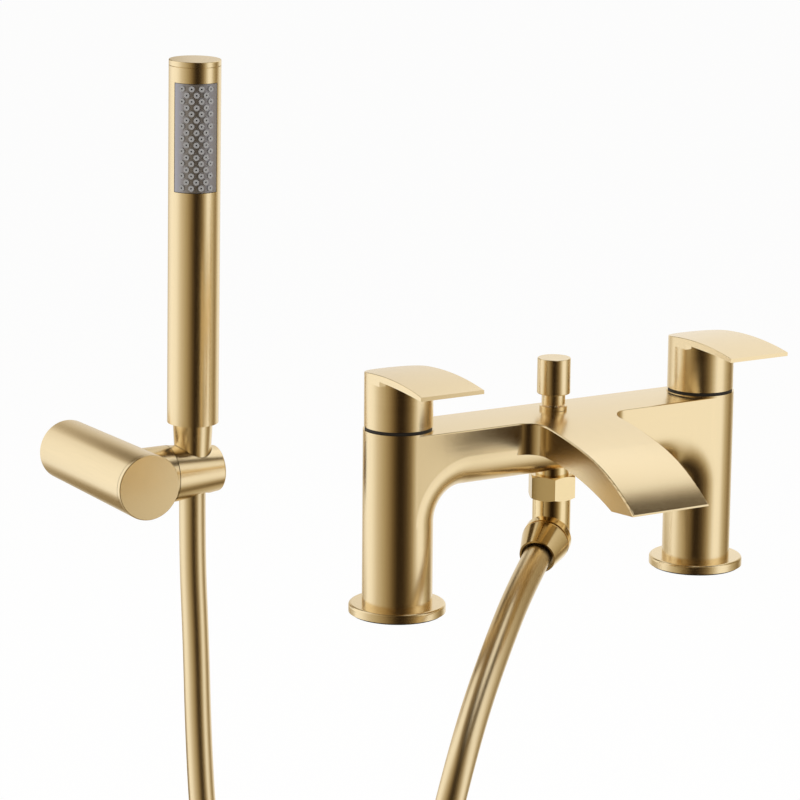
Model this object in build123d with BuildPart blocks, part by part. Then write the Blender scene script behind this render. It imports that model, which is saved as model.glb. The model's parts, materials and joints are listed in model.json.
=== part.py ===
from build123d import *
from math import asin, atan, cos, degrees, pi, radians, sin, sqrt, tan
import os

# A deck mounted bath shower mixer with its hose, handset and wall bracket.
# Sizes are in millimetres. X runs from the left pillar to the right one, Y towards the wall and Z up.
# The origin is on the deck, midway between the two inlets.

# Mixer body: two pillars joined by a bridge with a nearly flat top and a round underside
inlet_spacing = 180.0
pillar_radius = 17.3
bridge_top = 92.5
pillar_step = 0.2
bridge_edge_round = 0.8
bridge_axis_height = 78.7
arch_radius = 15.0
foot_radius = 15.2
inlet_thread_radius = 12.06
inlet_thread_length = 16.0
supply_bore_radius = 8.0
valve_seat_height = 58.0
valve_chamber_radius = 13.0
mixing_bore_radius = 6.0
mixing_bore_height = 73.0
overrun = 5.0

# Waterfall spout, on the front of the bridge
spout_half_width = 22.0
spout_root_round = 10.0
spout_tip_run = 42.0
spout_middle_top = 84.9
spout_reach = 102.0
spout_tip_height = 63.4
spout_lip = 0.9
spout_root_underside = 75.8
spout_mouth_length = 18.0
spout_heel_height = 61.2
spout_wall = 2.4
spout_port_half_width = 7.0

# Base flanges and their seals on the deck
seal_thickness = 0.9
seal_radius = 22.6
flange_radius = 23.9
flange_thickness = 4.4
flange_round = 1.4
foot_clearance = 0.1

# Quarter turn valves
seat_seal_thickness = 2.0
seat_seal_bore = 7.0
valve_clearance = 0.1
valve_wall = 3.0
valve_chamber_height = 22.0
valve_window_radius = 5.0
valve_collar_radius = 14.6
valve_collar_thickness = 1.3
valve_neck_radius = 8.0
valve_neck_height = 9.2
disc_thickness = 3.0
disc_gap = 0.05
disc_port_radius = 2.9
disc_port_offset = 5.2
disc_slot_width = 3.2
disc_slot_depth = 1.8
tongue_clearance = 0.1
drive_gap = 0.2
spindle_flange_radius = 9.0
spindle_flange_thickness = 3.0
spindle_radius = 4.0
running_clearance = 0.06
spindle_square = 5.6
spindle_square_length = 9.0

# Dark ring between each handle and its pillar
trim_ring_radius = 16.4
trim_ring_clearance = 0.1

# Lever handles
handle_radius = 16.8
handle_gap = 0.3
handle_reach = 49.0
handle_tip_half_width = 17.6
handle_crown_height = 122.4
handle_crown_place = 16.0
handle_edge_height = 119.2
handle_plate_underside = 119.2
handle_plate_root = 10.0
handle_tip_underside = 117.2
handle_cavity_radius = 13.4
handle_cavity_depth = 10.8
handle_edge_round = 0.5
handle_screw_radius = 2.0
handle_screw_clearance = 0.08
handle_screw_inset = 1.2
handle_screw_hex = 0.9

# Diverter, in the middle of the bridge
diverter_chamber_radius = 8.4
diverter_upper_seat = 80.0
diverter_seat_thickness = 1.6
diverter_upper_seat_radius = 6.4
diverter_ceiling = 88.6
diverter_bush_radius = 5.2
diverter_bush_clearance = 0.06
diverter_collar_radius = 6.9
diverter_collar_height = 2.0
diverter_knob_radius = 8.3
diverter_knob_bottom = 100.4
diverter_knob_top = 118.4
diverter_knob_edge = 0.5
diverter_neck_radius = 5.9
diverter_neck_gap = 0.7
diverter_rod_radius = 2.0
diverter_rod_in_knob = 11.0
diverter_valve_radius = 7.8
diverter_valve_thickness = 4.0
diverter_seat_gap = 0.3
diverter_seal_thickness = 1.2
spring_wire_radius = 0.35
spring_mean_radius = 3.1
spring_turns = 5

# Shower outlet under the bridge
nipple_radius = 8.35
nipple_clearance = 0.05
nipple_bore = 6.0
nipple_top = 66.8
union_top = 59.3
union_bottom = 47.1
union_across_flats = 21.8
union_turn = 4.0
union_lip_thickness = 1.1
union_chamfer = 1.0
tail_collar_radius = 8.2
tail_collar_thickness = 2.1
tail_neck_radius = 7.1
tail_clearance = 0.12
outlet_washer_thickness = 1.4
outlet_washer_bore = 5.6
seating_gap = 0.05
check_valve_radius = 5.9
check_valve_clearance = 0.1
check_valve_length = 9.0
check_valve_bore = 3.6
check_valve_web = 1.2
elbow_radius = 9.6
elbow_corner_height = 29.5
elbow_bore = 5.5
outlet_turn = -50.0
outlet_dip = 17.5
elbow_collar_radius = 12.1
elbow_collar_start = 3.0
elbow_collar_end = 9.6
elbow_spigot_radius = 9.3
elbow_spigot_end = 16.0

# Hose fittings at the mixer end
thread_clearance = 0.1
mixer_nut_start = 9.9
mixer_nut_end = 25.0
mixer_nut_radius = 12.3
mixer_nut_mouth_radius = 9.1
mixer_nut_mouth_bore = 8.2
mixer_nut_round = 1.2
hose_washer_thickness = 1.0
hose_washer_bore = 5.0
ferrule_flange_thickness = 1.1
ferrule_bore = 4.5
ferrule_sleeve_radius = 7.0
mixer_ferrule_length = 4.3

# Hose: 1.5 m long
hose_radius = 7.0
coil_radius = 80.0
coil_shift = 20.5
coil_place = (-136.5, 25.0, -288.0)
coil_quarter_turns = 6
tie_width = 10.0
tie_thickness = 1.2
tie_clearance = 0.35

# Wall bracket: a barrel that stands out from the wall, and an arm with the tilting holder
wall_distance = 245.0
barrel_offset = -150.0
bracket_height = 37.5
barrel_front = 150.8
barrel_front_radius = 17.3
barrel_rear_radius = 16.3
barrel_wall = 2.2
front_cap_thickness = 2.6
front_cap_round = 0.5
front_cap_gap = 0.3
front_cap_plug_length = 6.0
front_cap_plug_wall = 2.0
plug_clearance = 0.1
wall_plate_length = 14.0
wall_plate_floor = 4.0
wall_plate_wall = 2.5
wall_screw_spacing = 15.0
wall_screw_hole_radius = 2.3
grub_screw_radius = 2.5
grub_screw_clearance = 0.08
grub_screw_place = 7.0
grub_screw_hex = 1.3
arm_radius = 15.2
arm_end = -128.5
arm_seat_gap = 0.02
pivot_washer_radius = 12.0
pivot_washer_thickness = 0.8
pivot_washer_inset = 0.5
pivot_gap = 0.05
pivot_screw_radius = 2.5
pivot_clearance = 0.06
pivot_screw_length = 13.0
pivot_head_radius = 4.2
pivot_head_thickness = 1.8
holder_place = (-113.5, 169.9)
holder_end = -99.6
holder_end_radius = 12.1
holder_end_round = 1.0
holder_slot_width = 15.6
socket_clearance = 0.3

# Hose fittings at the handset end, measured along the handset from the holder's axis
handset_tilt = 1.38
spray_turn = -24.0
handset_nut_bottom = -10.5
handset_nut_bottom_radius = 8.55
handset_nut_taper_top = 27.5
handset_nut_radius = 10.5
handset_nut_top = 36.0
handset_nut_bore = 7.3
handset_nut_step = 20.0
handset_nut_thread_radius = 9.0
handset_ferrule_start = -2.5

# Handset
handset_radius = 13.5
handset_wall = 1.2
handset_bottom = 26.8
handset_top = 214.8
end_cap_gap = 0.3
end_cap_thickness = 2.7
end_cap_round = 0.4
end_cap_plug_length = 4.0
end_cap_plug_wall = 1.5
connector_flange_length = 8.0
connector_bore = 5.0
window_bottom = 150.3
window_top = 206.9
window_half_angle = 54.0
window_gap = 0.25
spray_plate_inset = 0.1
spray_plate_thickness = 1.5
nozzle_rows = 17
nozzle_row_pitch = 3.2
nozzle_angle_pitch = 21.5
nozzle_hole_radius = 0.95
nozzle_stem_radius = 0.88
nozzle_ring_radius = 1.5
nozzle_ring_height = 0.5
nozzle_bore_radius = 0.45
nozzle_mat_thickness = 0.8
nozzle_mat_gap = 0.05
water_tube_clearance = 0.3
water_tube_wall = 1.2
water_tube_window_margin = 4.0

# Places worked out from the sizes above
pillar_x = inlet_spacing / 2
bend_radius = arch_radius + pillar_radius
bend_height = bridge_axis_height - bend_radius
pillar_bottom = seal_thickness + flange_thickness
crown_top = bridge_top - pillar_step
crown_drop = crown_top - spout_middle_top
spout_middle_reach = spout_reach - spout_tip_run
spout_heel_reach = spout_reach - spout_mouth_length
crown_radius = (spout_middle_reach**2 + crown_drop**2) / (2 * crown_drop)
middle_slope = 2 * atan(crown_drop / spout_middle_reach)
spout_lip_bottom = spout_tip_height - spout_lip
tip_drop = spout_middle_top - spout_tip_height
tip_chord = sqrt((spout_reach - spout_middle_reach) ** 2 + tip_drop**2)
tip_radius = tip_chord / (2 * sin(atan(tip_drop / (spout_reach - spout_middle_reach)) - middle_slope))
bridge_edge_top = crown_top - crown_radius + sqrt(crown_radius**2 - pillar_radius**2)
port_floor = diverter_upper_seat + diverter_seat_thickness
valve_base = valve_seat_height + seat_seal_thickness
valve_radius = valve_chamber_radius - valve_clearance
valve_bore = valve_radius - valve_wall
valve_ceiling = valve_base + valve_chamber_height
disc_radius = valve_bore - valve_clearance
moving_disc_bottom = valve_base + disc_thickness + disc_gap
moving_disc_top = moving_disc_bottom + disc_thickness
spindle_bottom = moving_disc_top + drive_gap
collar_top = bridge_top + valve_collar_thickness
neck_top = collar_top + valve_neck_height
handle_bottom = collar_top + handle_gap
handle_floor = handle_bottom + handle_cavity_depth
handle_socket_top = handle_floor + spindle_square_length
spindle_top = handle_socket_top - handle_gap
handle_screw_height = (handle_floor + spindle_top) / 2
tail_bottom = union_bottom + union_lip_thickness + seating_gap
tail_top = tail_bottom + tail_collar_thickness
nipple_bottom = tail_top + outlet_washer_thickness + 2 * seating_gap
diverter_valve_bottom = nipple_top + diverter_seat_gap
diverter_valve_top = diverter_valve_bottom + diverter_valve_thickness
mixer_washer_start = elbow_spigot_end + seating_gap
mixer_ferrule_start = mixer_washer_start + hose_washer_thickness + seating_gap
mixer_nut_step = mixer_ferrule_start + ferrule_flange_thickness + seating_gap
mixer_ferrule_end = mixer_ferrule_start + mixer_ferrule_length
mixer_nut_bore = elbow_spigot_radius + thread_clearance
barrel_length = wall_distance - barrel_front
barrel_slope_share = (barrel_front_radius - barrel_rear_radius) / barrel_length
washer_start = arm_end - pivot_washer_inset
holder_start = washer_start + pivot_washer_thickness + pivot_gap
socket_slope_share = (handset_nut_radius - handset_nut_bottom_radius) / (
    handset_nut_taper_top - handset_nut_bottom
)
socket_radius = handset_nut_bottom_radius - socket_slope_share * handset_nut_bottom + socket_clearance
pivot_head_start = holder_place[0] - socket_radius - pivot_head_thickness
handset_flange_start = handset_nut_step + seating_gap
handset_washer_start = handset_flange_start + ferrule_flange_thickness + seating_gap
connector_start = handset_washer_start + hose_washer_thickness + seating_gap
connector_flange = handset_nut_top + seating_gap
connector_end = connector_flange + connector_flange_length
tube_bore = handset_radius - handset_wall
plate_radius = handset_radius - spray_plate_inset
mat_radius = plate_radius - spray_plate_thickness - nozzle_mat_gap
water_tube_radius = mat_radius - nozzle_mat_thickness - water_tube_clearance
cap_start = handset_top + end_cap_gap
cap_plug_start = handset_top - end_cap_plug_length
window_middle = (window_bottom + window_top) / 2

sides = (("left", -pillar_x), ("right", pillar_x))
outlet = Plane(
    Location((0, 0, elbow_corner_height), (0, 0, outlet_turn)) * Location((0, 0, 0), (90.0 + outlet_dip, 0, 0))
)
barrel = Plane(Location((barrel_offset, barrel_front, bracket_height), (-90.0, 0, 0)))
arm = Plane(Location((0, holder_place[1], bracket_height), (0, 90.0, 0)))
handset = Plane(Location((*holder_place, bracket_height), (handset_tilt, 0, spray_turn)))

os.makedirs("parts", exist_ok=True)


def profile_plane(plane):
    # The sketch plane through a round piece's axis: across is its radius and up its height
    return Plane(origin=plane.origin, x_dir=plane.x_dir, z_dir=-plane.y_dir)


def axis_of(plane):
    return Axis(plane.origin, plane.z_dir)


# Spout: its side outline, cut to its outline from above
with BuildPart() as spout:
    with BuildSketch(Plane.YZ):
        with BuildLine():
            top_root = TangentArc((0, crown_top), (-spout_middle_reach, spout_middle_top), tangent=(-1, 0))
            top_tip = JernArc(
                top_root @ 1,
                top_root % 1,
                tip_radius,
                degrees(2 * asin(tip_chord / (2 * tip_radius)) + overrun / tip_radius),
            )
            Line(top_tip @ 1, (-spout_heel_reach, spout_heel_height))
            underside = TangentArc(
                (-pillar_radius, spout_root_underside),
                (-spout_heel_reach, spout_heel_height),
                tangent=(-1, 0),
            )
            Line(underside @ 0, (0, spout_root_underside))
            Line((0, spout_root_underside), (0, crown_top))
        make_face()
    extrude(amount=spout_half_width + spout_root_round, both=True)
    with BuildSketch(Plane.XY.offset(spout_heel_height - overrun)):
        with BuildLine():
            Polyline(
                (0, 0),
                (spout_half_width + spout_root_round, 0),
                (spout_half_width + spout_root_round, -pillar_radius),
            )
            RadiusArc(
                (spout_half_width + spout_root_round, -pillar_radius),
                (spout_half_width, -pillar_radius - spout_root_round),
                -spout_root_round,
            )
            Polyline(
                (spout_half_width, -pillar_radius - spout_root_round),
                (spout_half_width, -spout_reach),
                (0, -spout_reach),
                (0, 0),
            )
        make_face()
        mirror(about=Plane.YZ)
    extrude(amount=bridge_top, mode=Mode.INTERSECT)

# Waterway inside the spout, from the diverter to the slot under the tip
with BuildPart() as spout_waterway:
    with BuildSketch(Plane.YZ):
        with BuildLine():
            upper_root = TangentArc(
                (0, crown_top - 2 * spout_wall),
                (-spout_middle_reach, spout_middle_top - spout_wall),
                tangent=(-1, 0),
            )
            upper_tip = TangentArc(
                upper_root @ 1,
                (-spout_reach + spout_wall, spout_tip_height - spout_wall),
                tangent=upper_root % 1,
            )
            Polyline(
                upper_tip @ 1,
                (-spout_reach + spout_wall, spout_heel_height - overrun),
                (-spout_heel_reach - spout_wall, spout_heel_height - overrun),
                (-spout_heel_reach - spout_wall, spout_heel_height + spout_wall),
            )
            lower = TangentArc(
                (-pillar_radius, port_floor),
                (-spout_heel_reach - spout_wall, spout_heel_height + spout_wall),
                tangent=(-1, 0),
            )
            Polyline(
                lower @ 0,
                (0, port_floor),
                upper_root @ 0,
            )
        make_face()
    extrude(amount=spout_half_width - spout_wall, both=True)
    with BuildSketch(Plane.XY.offset(spout_heel_height - 2 * overrun)):
        with BuildLine():
            Polyline(
                (-spout_port_half_width, 0),
                (spout_port_half_width, 0),
                (spout_half_width - spout_wall, -spout_middle_reach),
                (spout_half_width - spout_wall, -spout_reach),
                (spout_wall - spout_half_width, -spout_reach),
                (spout_wall - spout_half_width, -spout_middle_reach),
                close=True,
            )
        make_face()
    extrude(amount=bridge_top, mode=Mode.INTERSECT)

# Mixer body
with BuildPart() as mixer_body:
    with BuildSketch(Plane.YZ):
        with BuildLine():
            ThreePointArc((-pillar_radius, bridge_edge_top), (0, crown_top), (pillar_radius, bridge_edge_top))
            Line((pillar_radius, bridge_edge_top), (pillar_radius, bridge_axis_height))
            ThreePointArc(
                (pillar_radius, bridge_axis_height),
                (0, bridge_axis_height - pillar_radius),
                (-pillar_radius, bridge_axis_height),
            )
            Line((-pillar_radius, bridge_axis_height), (-pillar_radius, bridge_edge_top))
        make_face()
    extrude(amount=pillar_x, both=True)
    add(spout.part)
    crown = mixer_body.faces().filter_by(lambda face: face.normal_at().Z > 0.5)
    crown_edges = [edge for face in crown for edge in face.edges()]
    rim = [
        edge
        for edge in crown_edges
        if crown_edges.count(edge) == 1
        and abs(edge.center().X) < pillar_x - overrun
        and (abs(edge.center().X) > overrun or edge.center().Y > 0)
    ]
    fillet(rim, bridge_edge_round)
    # The spout's open underside, from its heel to its tip
    with BuildSketch(Plane.YZ):
        with BuildLine():
            Polyline(
                (-spout_heel_reach, spout_heel_height),
                (spout_heel_reach - 2 * spout_reach, 2 * spout_lip_bottom - spout_heel_height),
                (spout_heel_reach - 2 * spout_reach, spout_heel_height - overrun),
                (-spout_heel_reach, spout_heel_height - overrun),
                close=True,
            )
        make_face()
    extrude(amount=spout_half_width + overrun, both=True, mode=Mode.SUBTRACT)
    for side, place in sides:
        inner = place - bend_radius * place / pillar_x
        with BuildSketch(Plane((place, 0, 0))):
            Circle(foot_radius)
        extrude(amount=pillar_bottom)
        with BuildSketch(Plane((place, 0, pillar_bottom))):
            Circle(pillar_radius)
        extrude(amount=bridge_top - pillar_bottom)
        # Round inner half of the arch's bend, with flat sides outside its centre line
        with BuildSketch(Plane((place, 0, bend_height))):
            Circle(pillar_radius)
            with Locations((-pillar_radius * place / pillar_x, 0)):
                Rectangle(2 * pillar_radius, 2 * pillar_radius, mode=Mode.INTERSECT)
        revolve(
            axis=Axis((inner, 0, bend_height), (0, -place, 0)),
            revolution_arc=90.0,
        )
        with BuildSketch(Plane.XZ):
            with BuildLine():
                RadiusArc((place, bend_height), (inner, bridge_axis_height), bend_radius * (1 if place < 0 else -1))
                Polyline((inner, bridge_axis_height), (place, bridge_axis_height), (place, bend_height))
            make_face()
        extrude(amount=pillar_radius, both=True)
    add(spout_waterway.part, mode=Mode.SUBTRACT)
    for side, place in sides:
        with BuildSketch(Plane((place, 0, 0))):
            Circle(inlet_thread_radius)
        extrude(amount=inlet_thread_length, mode=Mode.SUBTRACT)
        with BuildSketch(Plane((place, 0, inlet_thread_length))):
            Circle(supply_bore_radius)
        extrude(amount=valve_seat_height - inlet_thread_length, mode=Mode.SUBTRACT)
        with BuildSketch(Plane((place, 0, valve_seat_height))):
            Circle(valve_chamber_radius)
        extrude(amount=bridge_top - valve_seat_height, mode=Mode.SUBTRACT)
    with BuildSketch(Plane.YZ):
        with Locations((0, mixing_bore_height)):
            Circle(mixing_bore_radius)
    extrude(amount=pillar_x, both=True, mode=Mode.SUBTRACT)
    # Diverter chamber, its two seats and the hole for its bush
    with BuildSketch(Plane.XY.offset(bridge_axis_height - pillar_radius - overrun)):
        Circle(nipple_radius + nipple_clearance)
    extrude(amount=diverter_upper_seat - bridge_axis_height + pillar_radius + overrun, mode=Mode.SUBTRACT)
    with BuildSketch(Plane.XY.offset(diverter_upper_seat)):
        Circle(diverter_upper_seat_radius)
    extrude(amount=diverter_seat_thickness, mode=Mode.SUBTRACT)
    with BuildSketch(Plane.XY.offset(diverter_upper_seat + diverter_seat_thickness)):
        Circle(diverter_chamber_radius)
    extrude(amount=diverter_ceiling - diverter_upper_seat - diverter_seat_thickness, mode=Mode.SUBTRACT)
    with BuildSketch(Plane.XY.offset(diverter_ceiling)):
        Circle(diverter_bush_radius + diverter_bush_clearance)
    extrude(amount=bridge_top - diverter_ceiling, mode=Mode.SUBTRACT)
mixer_body.part.label = "mixer_body"
export_step(mixer_body.part, "parts/mixer_body.step")

for side, place in sides:
    axis = Plane((place, 0, 0))

    with BuildPart() as deck_seal:
        with BuildSketch(axis):
            Circle(seal_radius)
            Circle(foot_radius + foot_clearance, mode=Mode.SUBTRACT)
        extrude(amount=seal_thickness)
    deck_seal.part.label = f"{side}_deck_seal"
    export_step(deck_seal.part, f"parts/{side}_deck_seal.step")

    with BuildPart() as base_flange:
        with BuildSketch(axis.offset(seal_thickness)):
            Circle(flange_radius)
            Circle(foot_radius + foot_clearance, mode=Mode.SUBTRACT)
        extrude(amount=flange_thickness)
        fillet(base_flange.faces().sort_by(Axis.Z)[-1].edges().sort_by(SortBy.RADIUS)[-1], flange_round)
    base_flange.part.label = f"{side}_base_flange"
    export_step(base_flange.part, f"parts/{side}_base_flange.step")

    with BuildPart() as seat_seal:
        with BuildSketch(axis.offset(valve_seat_height)):
            Circle(valve_radius)
            Circle(seat_seal_bore, mode=Mode.SUBTRACT)
        extrude(amount=seat_seal_thickness)
    seat_seal.part.label = f"{side}_seat_seal"
    export_step(seat_seal.part, f"parts/{side}_seat_seal.step")

    with BuildPart() as valve_body:
        with BuildSketch(profile_plane(axis)):
            with BuildLine():
                Polyline(
                    (valve_bore, valve_base),
                    (valve_radius, valve_base),
                    (valve_radius, bridge_top),
                    (valve_collar_radius, bridge_top),
                    (valve_collar_radius, collar_top),
                    (valve_neck_radius, collar_top),
                    (valve_neck_radius, neck_top),
                    (spindle_radius + running_clearance, neck_top),
                    (spindle_radius + running_clearance, valve_ceiling),
                    (valve_bore, valve_ceiling),
                    close=True,
                )
            make_face()
        revolve(axis=axis_of(axis))
        with BuildSketch(Plane.YZ.offset(place)):
            with Locations((0, mixing_bore_height)):
                Circle(valve_window_radius)
        extrude(amount=valve_radius * (1 if place < 0 else -1), mode=Mode.SUBTRACT)
    valve_body.part.label = f"{side}_valve_body"
    export_step(valve_body.part, f"parts/{side}_valve_body.step")

    with BuildPart() as fixed_disc:
        with BuildSketch(axis.offset(valve_base)):
            Circle(disc_radius)
            with Locations((0, disc_port_offset), (0, -disc_port_offset)):
                Circle(disc_port_radius, mode=Mode.SUBTRACT)
        extrude(amount=disc_thickness)
    fixed_disc.part.label = f"{side}_fixed_disc"
    export_step(fixed_disc.part, f"parts/{side}_fixed_disc.step")

    with BuildPart() as moving_disc:
        with BuildSketch(axis.offset(moving_disc_bottom)):
            Circle(disc_radius)
            with Locations((disc_port_offset, 0), (-disc_port_offset, 0)):
                Circle(disc_port_radius, mode=Mode.SUBTRACT)
        extrude(amount=disc_thickness)
        with BuildSketch(axis.offset(moving_disc_top)):
            Rectangle(disc_slot_width, 2 * disc_radius)
        extrude(amount=-disc_slot_depth, mode=Mode.SUBTRACT)
    moving_disc.part.label = f"{side}_moving_disc"
    export_step(moving_disc.part, f"parts/{side}_moving_disc.step")

    with BuildPart() as spindle:
        with BuildSketch(axis.offset(moving_disc_top - disc_slot_depth + tongue_clearance)):
            Rectangle(disc_slot_width - 2 * tongue_clearance, 2 * spindle_radius)
        extrude(amount=disc_slot_depth + drive_gap)
        with BuildSketch(axis.offset(spindle_bottom)):
            Circle(spindle_flange_radius)
        extrude(amount=spindle_flange_thickness)
        with BuildSketch(axis.offset(spindle_bottom)):
            Circle(spindle_radius)
        extrude(amount=neck_top - spindle_bottom)
        with BuildSketch(axis.offset(neck_top)):
            Rectangle(spindle_square, spindle_square)
        extrude(amount=spindle_top - neck_top)
    spindle.part.label = f"{side}_spindle"
    export_step(spindle.part, f"parts/{side}_spindle.step")

    with BuildPart() as trim_ring:
        with BuildSketch(axis.offset(bridge_top)):
            Circle(trim_ring_radius)
            Circle(valve_collar_radius + trim_ring_clearance, mode=Mode.SUBTRACT)
        extrude(amount=valve_collar_thickness)
    trim_ring.part.label = f"{side}_trim_ring"
    export_step(trim_ring.part, f"parts/{side}_trim_ring.step")

    # Handle: a thin curved lever on a round body, which is hollow over the valve's neck
    with BuildPart() as handle:
        with BuildSketch(Plane.YZ.offset(place)):
            with BuildLine():
                crown = ThreePointArc(
                    (handle_radius, handle_edge_height),
                    (-handle_crown_place, handle_crown_height),
                    (-handle_reach, handle_edge_height),
                )
                Line(crown @ 1, (-handle_reach, handle_tip_underside))
                plate_under = TangentArc(
                    (-handle_plate_root, handle_plate_underside),
                    (-handle_reach, handle_tip_underside),
                    tangent=(-1, 0),
                )
                Polyline(
                    plate_under @ 0,
                    (-handle_plate_root, handle_floor),
                    (handle_radius, handle_floor),
                    crown @ 0,
                )
            make_face()
        extrude(amount=handle_tip_half_width, both=True)
        with BuildSketch(axis.offset(handle_bottom)):
            Circle(handle_radius)
            with BuildLine():
                Polyline(
                    (handle_radius, 0),
                    (handle_tip_half_width, -handle_reach),
                    (-handle_tip_half_width, -handle_reach),
                    (-handle_radius, 0),
                    close=True,
                )
            make_face()
        extrude(amount=handle_crown_height - handle_bottom, mode=Mode.INTERSECT)
        with BuildSketch(axis.offset(handle_floor)):
            Rectangle(4 * handle_radius, 2 * handle_plate_root + 2 * handle_radius)
            Circle(handle_radius, mode=Mode.SUBTRACT)
        extrude(amount=handle_tip_underside - handle_edge_round - handle_floor, mode=Mode.SUBTRACT)
        with BuildSketch(axis.offset(handle_bottom)):
            Circle(handle_radius)
        extrude(amount=handle_plate_underside - handle_bottom)
        fillet(handle.faces().sort_by(Axis.Z)[-1].edges(), handle_edge_round)
        with BuildSketch(axis.offset(handle_bottom)):
            Circle(handle_cavity_radius)
        extrude(amount=handle_cavity_depth, mode=Mode.SUBTRACT)
        with BuildSketch(axis.offset(handle_floor)):
            Rectangle(spindle_square + 2 * running_clearance, spindle_square + 2 * running_clearance)
        extrude(amount=spindle_square_length, mode=Mode.SUBTRACT)
        with BuildSketch(Plane.XZ.offset(-spindle_square / 2)):
            with Locations((place, handle_screw_height)):
                Circle(handle_screw_radius + handle_screw_clearance)
        extrude(amount=-handle_radius, mode=Mode.SUBTRACT)
    handle.part.label = f"{side}_handle"
    export_step(handle.part, f"parts/{side}_handle.step")

    with BuildPart() as handle_screw:
        with BuildSketch(Plane.XZ.offset(-spindle_square / 2 - seating_gap)):
            with Locations((place, handle_screw_height)):
                Circle(handle_screw_radius)
        extrude(amount=-(handle_radius - spindle_square / 2 - handle_screw_inset))
        with BuildSketch(Plane.XZ.offset(-handle_radius + handle_screw_inset - seating_gap)):
            with Locations((place, handle_screw_height)):
                RegularPolygon(handle_screw_hex, 6)
        extrude(amount=handle_screw_radius, mode=Mode.SUBTRACT)
    handle_screw.part.label = f"{side}_handle_screw"
    export_step(handle_screw.part, f"parts/{side}_handle_screw.step")

# Diverter
with BuildPart() as diverter_bush:
    with BuildSketch(Plane.XY.offset(diverter_ceiling)):
        Circle(diverter_bush_radius)
    extrude(amount=crown_top - diverter_ceiling)
    with BuildSketch(Plane.XY.offset(crown_top)):
        Circle(diverter_collar_radius)
    extrude(amount=diverter_collar_height)
    with BuildSketch(Plane.XY.offset(diverter_ceiling)):
        Circle(diverter_rod_radius + running_clearance)
    extrude(amount=crown_top + diverter_collar_height - diverter_ceiling, mode=Mode.SUBTRACT)
diverter_bush.part.label = "diverter_bush"
export_step(diverter_bush.part, "parts/diverter_bush.step")

diverter_neck_bottom = crown_top + diverter_collar_height + diverter_neck_gap
with BuildPart() as diverter_knob:
    with BuildSketch(Plane.XY.offset(diverter_knob_bottom)):
        Circle(diverter_knob_radius)
    extrude(amount=diverter_knob_top - diverter_knob_bottom)
    fillet(diverter_knob.edges().filter_by(GeomType.CIRCLE), diverter_knob_edge)
    with BuildSketch(Plane.XY.offset(diverter_neck_bottom)):
        Circle(diverter_neck_radius)
    extrude(amount=diverter_knob_bottom - diverter_neck_bottom)
    with BuildSketch(Plane.XY.offset(diverter_neck_bottom)):
        Circle(diverter_rod_radius)
    extrude(amount=diverter_rod_in_knob, mode=Mode.SUBTRACT)
diverter_knob.part.label = "diverter_knob"
export_step(diverter_knob.part, "parts/diverter_knob.step")

with BuildPart() as diverter_rod:
    with BuildSketch(Plane.XY.offset(diverter_valve_bottom)):
        Circle(diverter_rod_radius)
    extrude(amount=diverter_neck_bottom + diverter_rod_in_knob - diverter_valve_bottom)
diverter_rod.part.label = "diverter_rod"
export_step(diverter_rod.part, "parts/diverter_rod.step")

with BuildPart() as diverter_seal:
    with BuildSketch(Plane.XY.offset(diverter_valve_bottom)):
        Circle(diverter_valve_radius)
        Circle(diverter_rod_radius, mode=Mode.SUBTRACT)
    extrude(amount=diverter_seal_thickness)
diverter_seal.part.label = "diverter_seal"
export_step(diverter_seal.part, "parts/diverter_seal.step")

with BuildPart() as diverter_valve:
    with BuildSketch(Plane.XY.offset(diverter_valve_bottom + diverter_seal_thickness)):
        Circle(diverter_valve_radius)
        Circle(diverter_rod_radius, mode=Mode.SUBTRACT)
    extrude(amount=diverter_valve_thickness - diverter_seal_thickness)
diverter_valve.part.label = "diverter_valve"
export_step(diverter_valve.part, "parts/diverter_valve.step")

spring_bottom = diverter_valve_top + spring_wire_radius + seating_gap
spring_length = diverter_ceiling - spring_bottom - spring_wire_radius - seating_gap
with BuildPart() as diverter_spring:
    with BuildLine() as spring_line:
        Helix(
            pitch=spring_length / spring_turns,
            height=spring_length,
            radius=spring_mean_radius,
            center=(0, 0, spring_bottom),
        )
    with BuildSketch(Plane(origin=spring_line.line @ 0, z_dir=spring_line.line % 0)):
        Circle(spring_wire_radius)
    sweep(is_frenet=True)
diverter_spring.part.label = "diverter_spring"
export_step(diverter_spring.part, "parts/diverter_spring.step")

# Shower outlet
with BuildPart() as outlet_nipple:
    with BuildSketch(Plane.XY.offset(nipple_bottom)):
        Circle(nipple_radius)
        Circle(nipple_bore, mode=Mode.SUBTRACT)
    extrude(amount=nipple_top - nipple_bottom)
outlet_nipple.part.label = "outlet_nipple"
export_step(outlet_nipple.part, "parts/outlet_nipple.step")

with BuildPart() as outlet_washer:
    with BuildSketch(Plane.XY.offset(tail_top + seating_gap)):
        Circle(tail_collar_radius)
        Circle(outlet_washer_bore, mode=Mode.SUBTRACT)
    extrude(amount=outlet_washer_thickness)
outlet_washer.part.label = "outlet_washer"
export_step(outlet_washer.part, "parts/outlet_washer.step")

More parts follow.
